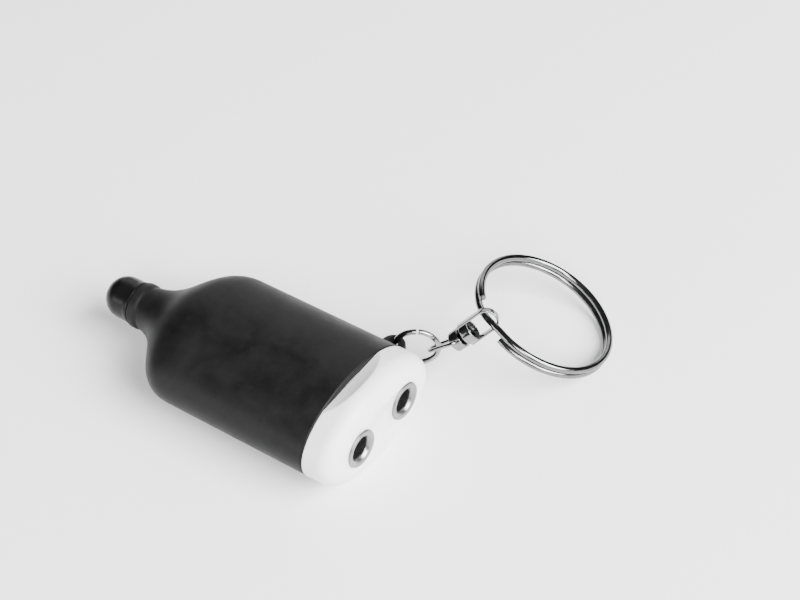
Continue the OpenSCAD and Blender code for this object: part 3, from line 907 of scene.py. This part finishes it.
@dataclass
class EndCap:
    """The white end of the core: rounded oval with a thumb notch on each broad side and two bores."""

    half_w: float = 12.9
    half_t: float = 7.55
    mouth_x: float = 26.02
    end_x: float = 31.25
    rounding: float = 2.75
    notch_centre: tuple[float, float] = (23.537, 14.957)
    notch_r: float = 9.0
    notch_soft: float = 0.1
    spigot: Point = (24.0, 10.28, 4.93)
    pitch: float = 10.8
    bore_r: float = 2.42
    flange_r: float = 3.02
    flange_x: float = 30.9
    around: int = 288
    spigot_around: int = 144
    bore_ease: float = 0.14

    def limit(self, x: float, z: float) -> float:
        """Height of the surface after the thumb notch.

        Args:
            x: place along the core.
            z: height without the notch.

        Returns:
            The smaller of the two heights, with a softened edge.
        """
        dx = x - self.notch_centre[0]
        if dx >= self.notch_r:
            return z
        cut = self.notch_centre[1] - math.sqrt(self.notch_r ** 2 - dx * dx)
        k = self.notch_soft
        blend = max(0.0, min(1.0, 0.5 + 0.5 * (cut - abs(z)) / k))
        low = cut + (abs(z) - cut) * blend - k * blend * (1 - blend)
        return math.copysign(min(low, abs(z)), z)

    def build(self) -> None:
        """Make the cap with its spigot and bores."""
        rows = [(self.mouth_x, 0.12), (self.mouth_x + 0.04, 0.04), (self.mouth_x + 0.12, 0.0)]
        rows += [(x, 0.0) for x in spread(self.mouth_x + 0.24, self.end_x - self.rounding, 20)]
        for a in spread(0, math.pi / 2, 27)[1:]:
            rows.append((self.end_x - self.rounding * (1 - math.sin(a)), self.rounding * (1 - math.cos(a))))
        rings = []
        for x, inset in rows:
            ring = []
            for j in range(self.around):
                angle = 2 * math.pi * j / self.around
                y, z = (self.half_w - inset) * math.cos(angle), (self.half_t - inset) * math.sin(angle)
                ring.append(Vector((x, y, self.limit(x, z))))
            rings.append(ring)
        cap = object_from("end_cap_white", skin(rings))
        x0, w, t = self.spigot
        steps = [(x0, 0.25), (x0 + 0.25, 0.0), (self.mouth_x + 1, 0.0)]
        spigot = [oval(x, w - inset, t - inset, self.spigot_around) for x, inset in steps]
        combine(cap, object_from("spigot", skin(spigot)), "UNION")
        for side in Side:
            place = Matrix.Translation((0, side.value * self.pitch / 2, 0))
            bore = [(x0 - 1, 0), (x0 - 1, self.bore_r), (self.flange_x, self.bore_r),
                    (self.flange_x, self.flange_r), (self.end_x - 0.1, self.flange_r),
                    (self.end_x + 0.05, self.flange_r + self.bore_ease),
                    (self.end_x + 1, self.flange_r + self.bore_ease),
                    (self.end_x + 1, 0)]
            cutter = object_from("bore", turned(bore, place, closed=False, segments=96))
            combine(cap, cutter, "DIFFERENCE")
        dressed(cap, Finish.CAP, Body.CORE, "end_cap", crease=SOFT_CREASE)


@dataclass
class CoreHousing:
    """The two halves of the white housing inside the sleeve, with their posts."""

    half_w: float = 11.3
    half_t: float = 5.95
    wall: float = 1.0
    nose_x: float = 2.5
    straight_x: float = 5.0
    end_x: float = 25.98
    nose_round: float = 0.7
    hole_r: float = 2.22
    post: Point = (11.25, 6.6, 1.1)
    board_half: float = 0.52
    parting: float = 0.01
    around: int = 72

    def half(self, side: Side) -> bpy.types.Object:
        """One half of the housing.

        Args:
            side: PLUS for the upper half.

        Returns:
            The closed shell.
        """
        rows: list[tuple[float, float, float]] = [(self.nose_x, self.hole_r, self.hole_r)]
        for a in spread(0, math.pi / 2, 8):
            inset = self.nose_round * (1 - math.sin(a))
            x = self.nose_x + self.nose_round * (1 - math.cos(a))
            rows.append((x, self.half_w - inset, self.half_t - inset))
        rows += [(x, self.half_w, self.half_t) for x in spread(self.straight_x, self.end_x, 8)]
        inner_w, inner_t = self.half_w - self.wall, self.half_t - self.wall
        rows += [(x, inner_w, inner_t) for x in spread(self.end_x, self.nose_x + self.wall, 5)]
        rows.append((self.nose_x + self.wall, self.hole_r, self.hole_r))
        rings = []
        for x, a, b in rows:
            ring = []
            for j in range(self.around + 1):
                angle = math.pi * j / self.around
                z = max(b * math.sin(angle), 0.0) + self.parting
                ring.append(Vector((x, a * math.cos(angle), side.value * z)))
            rings.append(ring)
        bm = bmesh.new()
        grid = [[bm.verts.new(p * MM) for p in ring] for ring in rings]
        count = len(grid)
        for i in range(count):
            for j in range(self.around):
                k = (i + 1) % count
                bm.faces.new((grid[i][j], grid[i][j + 1], grid[k][j + 1], grid[k][j]))
        for j in (0, self.around):
            bm.faces.new([row[j] for row in grid])
        bmesh.ops.recalc_face_normals(bm, faces=bm.faces)
        name = "housing_upper" if side is Side.PLUS else "housing_lower"
        return object_from(name, bm)

    def build(self) -> None:
        """Make both halves and their posts and pegs."""
        x, y, r = self.post
        for side, node in ((Side.PLUS, "upper_shell"), (Side.MINUS, "lower_shell")):
            shell = self.half(side)
            for sign in Side:
                top = (self.half_t - 0.6 * self.wall) * math.sqrt(1 - (y / self.half_w) ** 2)
                low = self.board_half
                post = [(low, 0, 0), (low, r, 0.15), (top, r, 0), (top, 0, 0)]
                if side is Side.PLUS:
                    post = [(-1.6, 0, 0), (-1.6, 0.5, 0.15), (low, 0.5, 0), *post[1:]]
                else:
                    post = [(1.35, 0, 0), (1.35, 0.52, 0), (low, 0.52, 0.1), *post[1:]]
                spin = Matrix.Rotation(-math.pi / 2 * side.value, 4, "Y")
                place = Matrix.Translation((x, sign.value * y, 0)) @ spin
                combine(shell, lathe("post", post, place, False, steps=3, segments=40), "UNION")
            dressed(shell, Finish.SHELL, Body.CORE, node)


@dataclass
class SocketPair:
    """The two flanged metal bushings."""

    pitch: float = 10.8
    bore_r: float = 1.8
    barrel_r: float = 2.4
    flange_r: float = 3.0
    face_x: float = 31.5
    flange_t: float = 0.6
    rear_x: float = 23.7
    bevel: float = 0.45

    def build(self) -> None:
        """Make one bushing and set it out twice."""
        f, b = self.face_x, self.bevel
        corners: list[Corner] = [
            (self.rear_x, self.bore_r, 0.05), (self.rear_x, self.barrel_r, 0.1),
            (f - self.flange_t, self.barrel_r, 0.03), (f - self.flange_t, self.flange_r, 0.05),
            (f, self.flange_r, 0.17), (f, self.bore_r + b + 0.12, 0.1),
            (f - 0.16, self.bore_r + b - 0.12, 0.1), (f - b - 0.1, self.bore_r, 0.2)]
        bushing = lathe("socket_bushings", corners, AXIS_X, steps=6, segments=128)
        grown(bushing, pair_tree(), Pitch=self.pitch * MM, Count=2, Finish=Finish.BUSHING.material())
        dressed(cleaned(bushing), Finish.BUSHING, Body.CORE, "socket_bushing_left", "socket_bushing_right",
                crease=SOFT_CREASE)


@dataclass
class PlugPart:
    """One turned piece of the plug."""

    name: str
    nodes: tuple[str, ...]
    finish: Finish
    corners: list[Corner]

    def build(self) -> None:
        """Make the piece about the plug's axis."""
        loop = min(c[1] for c in self.corners) > 0.001
        dressed(lathe(self.name, self.corners, AXIS_X, loop), self.finish, Body.CORE, *self.nodes)


@dataclass
class AudioPlug:
    """The three-contact plug and its moulded shoulder."""

    r: float = 1.75
    gap: float = 0.02
    tubes: tuple[float, ...] = (0.45, 0.7, 0.95, 1.2)
    ends: tuple[float, ...] = (6.0, 5.65, 5.35, 5.05)
    band_front: float = -6.88
    shoulder_r: float = 2.8
    shoulder_x: float = 2.5
    neck_r: float = 2.2
    neck_x: float = 3.52
    foot_r: float = 3.4
    foot_x: float = 4.6
    tip_x: float = -14.0

    def layer(self, index: int, front: float, back: float) -> list[Corner]:
        """Corners of a band with its tube behind.

        Args:
            index: place of the tube, from the rod outwards.
            front: x of the band's front face.
            back: x of the band's rear face.

        Returns:
            The corners.
        """
        inner, outer, end = self.tubes[index - 1] + self.gap, self.tubes[index], self.ends[index]
        return [(front, inner, 0), (front, self.r, 0.06), (back, self.r, 0.06), (back, outer, 0),
                (end, outer, 0), (end, inner, 0)]

    def build(self) -> None:
        """Make the five pieces."""
        r, rod_r, rod_end = self.r, self.tubes[0], self.ends[0]
        bore_r = self.tubes[3] + self.gap
        sleeve: list[Corner] = [
            (self.band_front, bore_r, 0), (self.band_front, r, 0.08), (0, r, 0.0),
            (0, self.shoulder_r, 0.25), (self.shoulder_x, self.shoulder_r, 0.1),
            (self.shoulder_x, self.neck_r, 0), (self.neck_x, self.neck_r, 0),
            (self.neck_x, self.foot_r, 0), (self.foot_x, self.foot_r, 0.1), (self.foot_x, bore_r, 0)]
        tip: list[Corner] = [
            (self.tip_x, 0, 0), (self.tip_x, 0.55, 0.25), (-13.35, 1.18, 0.3), (-12.55, r, 0.35),
            (-11.75, 1.36, 0.3), (-10.9, 1.3, 0.05), (-10.9, rod_r, 0), (rod_end, rod_r, 0.1),
            (rod_end, 0, 0)]
        parts = [
            PlugPart("plug_sleeve_contact", ("plug_sleeve",), Finish.PLUG, sleeve),
            PlugPart("plug_ring_contact", ("plug_ring",), Finish.PLUG, self.layer(2, -10.18, -7.6)),
            PlugPart("plug_tip_contact", ("plug_tip",), Finish.PLUG, tip),
            PlugPart("plug_rear_band", ("rear_insulator",), Finish.BLACK, self.layer(3, -7.58, -6.9)),
            PlugPart("plug_front_band", ("front_insulator",), Finish.BLACK, self.layer(1, -10.88, -10.2)),
        ]
        for part in parts:
            part.build()


# ---------------------------------------------------------------- chain


@dataclass
class ChainLayout:
    """Where each link of the chain lies, worked out from the lug's hole outwards."""

    lug_hole: Point = (23.3, 13.9, 0.0)
    jump_r: float = 3.4
    jump_az: float = 34.0
    jump_droop: float = 13.0
    swivel_az: float = 42.0
    swivel_el: float = 37.5
    cup_turn: float = -40.0
    bail_turn: float = -20.0
    eye_swing: float = 15.0
    eye_reach: float = 3.4
    bail_reach: float = 5.99
    ring_r: float = 11.15
    ring_tilt: float = 30.5
    ring_az: float = 37.0
    ring_gap: float = 205.5
    jump_dir: Vector = field(init=False)
    jump_centre: Vector = field(init=False)
    pin_at: Vector = field(init=False)
    ring_centre: Vector = field(init=False)

    def __post_init__(self) -> None:
        """Work out the points from the sizes."""
        self.jump_dir = toward(self.jump_az, 0)
        droop = math.radians(self.jump_droop)
        self.jump_centre = Vector(self.lug_hole) + self.jump_r * (
            math.cos(droop) * self.jump_dir - math.sin(droop) * Vector((0, 0, 1)))
        along = toward(self.swivel_az, self.swivel_el)
        turn, swing = math.radians(self.cup_turn), math.radians(self.eye_swing)
        across = (math.cos(turn) * toward(self.swivel_az, self.swivel_el - 90)
                  + math.sin(turn) * toward(self.swivel_az + 90, 0))
        eye_dir = math.cos(swing) * along + math.sin(swing) * across
        self.pin_at = self.jump_centre + self.jump_r * self.jump_dir + self.eye_reach * eye_dir
        wire_at = self.pin_at + self.bail_reach * along
        gap = math.radians(self.ring_gap)
        self.ring_centre = wire_at - self.ring_r * (
            math.cos(gap) * toward(self.ring_az, -self.ring_tilt)
            + math.sin(gap) * toward(self.ring_az + 90, 0))

    def swivel(self, turn: float) -> Matrix:
        """Frame of the swivel: Z along it, turned about itself by some degrees."""
        return (Matrix.Translation(self.pin_at)
                @ Matrix.Rotation(math.radians(self.swivel_az), 4, "Z")
                @ Matrix.Rotation(math.radians(90 - self.swivel_el), 4, "Y")
                @ Matrix.Rotation(math.radians(turn), 4, "Z"))

    def ring(self) -> Matrix:
        """Frame of the split ring: Z along its axis."""
        return (Matrix.Translation(self.ring_centre)
                @ Matrix.Rotation(math.radians(self.ring_az), 4, "Z")
                @ Matrix.Rotation(math.radians(self.ring_tilt), 4, "Y"))


@dataclass
class JumpRing:
    """Open wire ring in the lug."""

    layout: ChainLayout
    wire_r: float = 0.43
    open_at: float = 83.0
    open_by: float = 5.0

    def build(self) -> None:
        """Sweep the wire round the ring."""
        start = self.open_at + self.open_by / 2
        points = arc(self.layout.jump_centre, self.layout.jump_dir, Vector((0, 0, 1)), self.layout.jump_r,
                     start, start + 360 - self.open_by, 120)
        ring = grown(path_object("jump_ring_wire", points), sweep_tree(),
                     Wire_Radius=self.wire_r * MM, Sides=32, Finish=Finish.CHAIN.material())
        dressed(cleaned(ring), Finish.CHAIN, Body.JUMP_LINK, "jump_ring", crease=SOFT_CREASE)


@dataclass
class Swivel:
    """Wire eye, lower cup, rivet, collar and strap bail."""

    layout: ChainLayout
    eye_wire_r: float = 0.31
    eye_slack: float = 0.03
    hook: float = 0.42
    rivet_head_r: float = 0.9
    rivet_hub_r: float = 0.85
    rivet_tail_r: float = 0.95
    cup_r: float = 1.65
    cup_half: float = 0.85
    eye_l: float = 4.55
    sheet: float = 0.28
    rivet_r: float = 0.5
    collar_r: float = 1.75
    collar_z: tuple[float, float] = (1.35, 3.0)
    bail_h: float = 7.25
    strap_w: float = 1.1
    strap_t: float = 0.34
    arch_r: float = 1.57

    def build_eye(self) -> None:
        """Sweep the eye's wire from one hooked end to the other."""
        arm = self.cup_r + 0.06 + self.eye_wire_r
        bend_z = -(self.eye_l + self.eye_wire_r - arm)
        hook = self.hook
        y, z = Vector((0, 1, 0)), Vector((0, 0, 1))
        path = [Vector((0, arm - 0.75, 0)), Vector((0, arm - hook, 0))]
        path += arc(Vector((0, arm - hook, -hook)), y, z, hook, 90, 0, 8)[1:]
        path += [Vector((0, arm, bend_z * 0.5))]
        path += arc(Vector((0, 0, bend_z)), y, z, arm, 0, -180, 48)
        path += [Vector((0, -arm, bend_z * 0.5))]
        path += arc(Vector((0, -arm + hook, -hook)), -y, z, hook, 0, 90, 8)
        path += [Vector((0, -arm + 0.75, 0))]
        place = (self.layout.swivel(self.layout.cup_turn)
                 @ Matrix.Rotation(math.radians(self.layout.eye_swing), 4, "Y"))
        wire = path_object("swivel_eye_wire", [place @ p for p in path])
        grown(wire, sweep_tree(), Wire_Radius=(self.eye_wire_r - self.eye_slack) * MM, Sides=28,
              Finish=Finish.CHAIN.material())
        dressed(cleaned(wire), Finish.CHAIN, Body.EYE, "swivel_eye", crease=SOFT_CREASE)

    def build_cup(self) -> None:
        """Drawn cup with a rounded bottom, a rivet hole and two side holes."""
        h, r, s = self.cup_half, self.cup_r, self.sheet
        corners: list[Corner] = [
            (-h, self.rivet_r + 0.02, 0.05), (-h, r, 0.42), (h, r, 0.08), (h, r - s, 0.08),
            (-h + 0.35, r - s, 0.22), (-h + 0.35, self.rivet_r + 0.02, 0.05)]
        place = self.layout.swivel(self.layout.cup_turn)
        cup = lathe("swivel_cup_drawn", corners, place @ X_TO_Z, steps=7)
        drill = turned([(-2.5, 0), (-2.5, 0.29), (2.5, 0.29), (2.5, 0)],
                       place @ X_TO_Y, closed=False, segments=40)
        combine(cup, object_from("drill", drill), "DIFFERENCE")
        dressed(cup, Finish.CHAIN, Body.LOWER_SWIVEL, "swivel_cup")

    def build_rivet(self) -> None:
        """Headed rivet with its hub."""
        floor, top = -self.cup_half, self.collar_z[0] + 0.4
        corners: list[Corner] = [
            (floor - 0.3, 0, 0), (floor - 0.3, self.rivet_head_r, 0.2),
            (floor - 0.02, self.rivet_head_r, 0.03), (floor - 0.02, self.rivet_r, 0),
            (floor + 0.37, self.rivet_r, 0), (floor + 0.37, self.rivet_hub_r, 0.1),
            (self.collar_z[0] - 0.05, self.rivet_hub_r, 0.12), (self.collar_z[0] - 0.05, self.rivet_r, 0),
            (top + 0.05, self.rivet_r, 0), (top + 0.05, self.rivet_tail_r, 0.05),
            (top + 0.4, self.rivet_tail_r, 0.25), (top + 0.4, 0, 0)]
        place = self.layout.swivel(self.layout.cup_turn) @ X_TO_Z
        rivet = lathe("swivel_rivet_headed", corners, place, closed=False, segments=72)
        dressed(rivet, Finish.CHAIN, Body.LOWER_SWIVEL, "swivel_rivet")

    def build_collar(self) -> None:
        """Drawn collar that the bail's ends are set in."""
        low, high = self.collar_z
        r, s = self.collar_r, self.sheet
        corners: list[Corner] = [
            (low, self.rivet_r + 0.05, 0.05), (low, r, 0.32), (high, r, 0.09), (high, r - s, 0.09),
            (low + 0.4, r - s, 0.2), (low + 0.4, self.rivet_r + 0.05, 0.05)]
        place = self.layout.swivel(self.layout.bail_turn)
        collar = lathe("swivel_collar_drawn", corners, place @ X_TO_Z, steps=7)
        for side in Side:
            middle = side.value * (self.arch_r + self.strap_t / 2)
            reach = self.strap_t / 2 + 0.02
            wide = self.strap_w / 2 + 0.02
            slot = box_mesh((middle - reach, -wide, low - 1), (middle + reach, wide, high + 1), place)
            combine(collar, object_from("slot", slot), "DIFFERENCE")
        dressed(collar, Finish.CHAIN, Body.UPPER_SWIVEL, "swivel_collar")

    def build_bail(self) -> None:
        """Flat strap bent to a U, its edges rounded."""
        t, w, edge = self.strap_t, self.strap_w / 2, 0.1
        mid = self.arch_r + t / 2
        arch_z = self.bail_h - self.arch_r
        foot = self.collar_z[0] + 0.1
        x, z = Vector((1, 0, 0)), Vector((0, 0, 1))
        spine = [(Vector((-mid, 0, foot + (arch_z - foot) * i / 8)), -x) for i in range(8)]
        for i in range(49):
            a = math.pi - math.pi * i / 48
            out = math.cos(a) * x + math.sin(a) * z
            spine.append((Vector((0, 0, arch_z)) + mid * out, out))
        spine += [(Vector((mid, 0, arch_z + (foot - arch_z) * i / 8)), x) for i in range(1, 9)]
        section = []
        for sx, sy, start in ((1, 1, 0), (-1, 1, 90), (-1, -1, 180), (1, -1, 270)):
            for a in range(start, start + 91, 18):
                c, s = math.cos(math.radians(a)), math.sin(math.radians(a))
                section.append((sx * (t / 2 - edge) + edge * c, sy * (w - edge) + edge * s))
        place = self.layout.swivel(self.layout.bail_turn)
        rings = [[place @ (at + out * u + Vector((0, v, 0))) for u, v in section] for at, out in spine]
        bail = object_from("swivel_bail_strap", skin(rings))
        dressed(bail, Finish.CHAIN, Body.UPPER_SWIVEL, "swivel_bail", crease=SOFT_CREASE)

    def build(self) -> None:
        """Make the swivel's five pieces."""
        self.build_eye()
        self.build_cup()
        self.build_rivet()
        self.build_collar()
        self.build_bail()


@dataclass
class SplitRing:
    """Double-turn wire ring."""

    layout: ChainLayout
    wire_r: float = 0.55
    gap_span: float = 37.6
    level: float = 0.57

    def build(self) -> None:
        """Grow the coil, then stand it in the bail."""
        ring = path_object("split_ring_coil", [Vector((0, 0, 0)), Vector((1, 0, 0))])
        grown(ring, coil_tree(), Coil_Radius=self.layout.ring_r * MM, Wire_Radius=self.wire_r * MM,
              Level=self.level * MM, Start=math.radians(self.layout.ring_gap - self.gap_span / 2),
              Gap=math.radians(self.gap_span), Steps=420, Sides=32, Finish=Finish.RING.material())
        place = self.layout.ring()
        for v in ring.data.vertices:
            v.co = (place @ (v.co / MM)) * MM
        dressed(cleaned(ring), Finish.RING, Body.KEY_RING, "split_ring", crease=SOFT_CREASE)


# ---------------------------------------------------------------- pieces kept from the CAD


INNER_FINISHES: dict[str, Finish] = {
    "nib_stem": Finish.STEM,
    "circuit_board": Finish.BOARD,
    "ground_plate": Finish.CONTACT,
    "socket_body_left": Finish.BLACK,
    "socket_body_right": Finish.BLACK,
    "tip_spring_left": Finish.CONTACT,
    "tip_spring_right": Finish.CONTACT,
    "ring_spring_left": Finish.CONTACT,
    "ring_spring_right": Finish.CONTACT,
    "sleeve_tag": Finish.CONTACT,
    "ring_tag": Finish.CONTACT,
    "tip_tag": Finish.CONTACT,
}


def dress_kept_nodes(nodes: dict[str, bpy.types.Object]) -> None:
    """Give the CAD nodes that stay their finishes.

    Args:
        nodes: the frame's nodes by name.
    """
    for name, finish in INNER_FINISHES.items():
        mesh = nodes[name].data
        mesh.materials.clear()
        mesh.materials.append(finish.material())
        LOG.info("%s: kept, dressed as %s", name, finish.value.name)


# ---------------------------------------------------------------- studio


@dataclass
class Studio:
    """Pale sweep, soft boxes and the camera."""

    floor_z: float = -7.56
    camera_at: Point = (158.36, -144.14, 222.07)
    right: Point = (0.811, 0.580, -0.077)
    up: Point = (-0.374, 0.615, 0.694)
    back: Point = (0.450, -0.535, 0.715)
    lens: float = 90.0
    sensor: float = 36.0
    floor_size: float = 3.0
    floor_grey: float = 0.95
    room: tuple[tuple[float, float], ...] = ((0.0, 0.02), (0.6, 0.05), (1.0, 0.12))
    glow: float = 0.9

    def build_camera(self) -> None:
        """Camera with its axes turned to the object."""
        data = bpy.data.cameras.new("camera")
        data.lens, data.sensor_width = self.lens, self.sensor
        data.clip_start, data.clip_end = 0.01, 10
        data.dof.use_dof = False
        camera = bpy.data.objects.new("camera", data)
        bpy.context.scene.collection.objects.link(camera)
        z = Vector(self.back).normalized()
        x = (Vector(self.right) - Vector(self.right).dot(z) * z).normalized()
        y = z.cross(x)
        camera.matrix_world = Matrix.Translation(Vector(self.camera_at) * MM) @ Matrix(
            (x, y, z)).transposed().to_4x4()
        bpy.context.scene.camera = camera

    def build_floor(self) -> None:
        """Wide pale floor."""
        bm = bmesh.new()
        bmesh.ops.create_grid(bm, x_segments=2, y_segments=2, size=self.floor_size)
        floor = object_from("floor", bm)
        floor.location = (0, 0, self.floor_z * MM)
        paper = (self.floor_grey, self.floor_grey, self.floor_grey)
        floor.data.materials.append(FloorFinish("floor_paper", paper).build())

    def lamp(self, name: str, at: Point, aim: Point, size: tuple[float, float], watts: float) -> None:
        """Rectangular soft box.

        Args:
            name: name of the lamp.
            at: place in metres.
            aim: point that it faces, in metres.
            size: width and height in metres.
            watts: power.
        """
        data = bpy.data.lights.new(name, "AREA")
        data.shape, data.size, data.size_y, data.energy = "RECTANGLE", size[0], size[1], watts
        lamp = bpy.data.objects.new(name, data)
        bpy.context.scene.collection.objects.link(lamp)
        lamp.location = at
        lamp.rotation_mode = "QUATERNION"
        lamp.rotation_quaternion = (Vector(aim) - Vector(at)).to_track_quat("-Z", "Y")

    def build_world(self) -> None:
        """Grey room that is darker at the horizon, so that bright metal has something dark to show."""
        world = bpy.data.worlds.new("room")
        bpy.context.scene.world = world
        world.use_nodes = True
        maker = NodeMaker(world.node_tree)
        maker.tree.nodes.clear()
        place = maker.node("ShaderNodeTexCoord").outputs["Generated"]
        height = maker.node("ShaderNodeSeparateXYZ", {0: place}).outputs["Z"]
        ramp = maker.node("ShaderNodeValToRGB", {"Fac": height})
        bar = ramp.color_ramp.elements
        bar.new(self.room[1][0])
        for element, (at, grey) in zip(bar, self.room):
            element.position, element.color = at, (grey, grey, grey, 1)
        glow = maker.node("ShaderNodeBackground", {"Color": ramp.outputs["Color"], "Strength": self.glow})
        maker.node("ShaderNodeOutputWorld", {"Surface": glow.outputs[0]})

    def build(self) -> None:
        """Set up the whole studio."""
        self.build_camera()
        self.build_floor()
        self.build_world()
        middle = (0.015, 0.01, 0.0)
        self.lamp("key", (0.78, 0.0, 0.56), middle, (0.7, 0.7), 47.0)
        self.lamp("front", (0.45, -0.6, 0.6), middle, (0.3, 0.3), 8.0)
        self.lamp("front_strip", (-0.32, -0.62, 0.17), middle, (0.5, 0.12), 2.6)
        self.lamp("back", (-0.35, 0.6, 0.33), middle, (0.7, 0.4), 2.0)


# ---------------------------------------------------------------- assembly


def main() -> None:
    """Load the frame, set up the studio, build the pieces in order and dress the kept CAD nodes."""
    logging.basicConfig(level=logging.INFO, format="%(name)s: %(message)s")
    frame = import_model()
    layout = ChainLayout()
    Studio().build()
    for part in (FlaskSleeve(), EndCap(), CoreHousing(), SocketPair(), AudioPlug(),
                 JumpRing(layout), Swivel(layout), SplitRing(layout)):
        part.build()
        LOG.info("%s done", type(part).__name__)
    dress_kept_nodes(frame["nodes"])


if __name__ == "__main__":
    main()
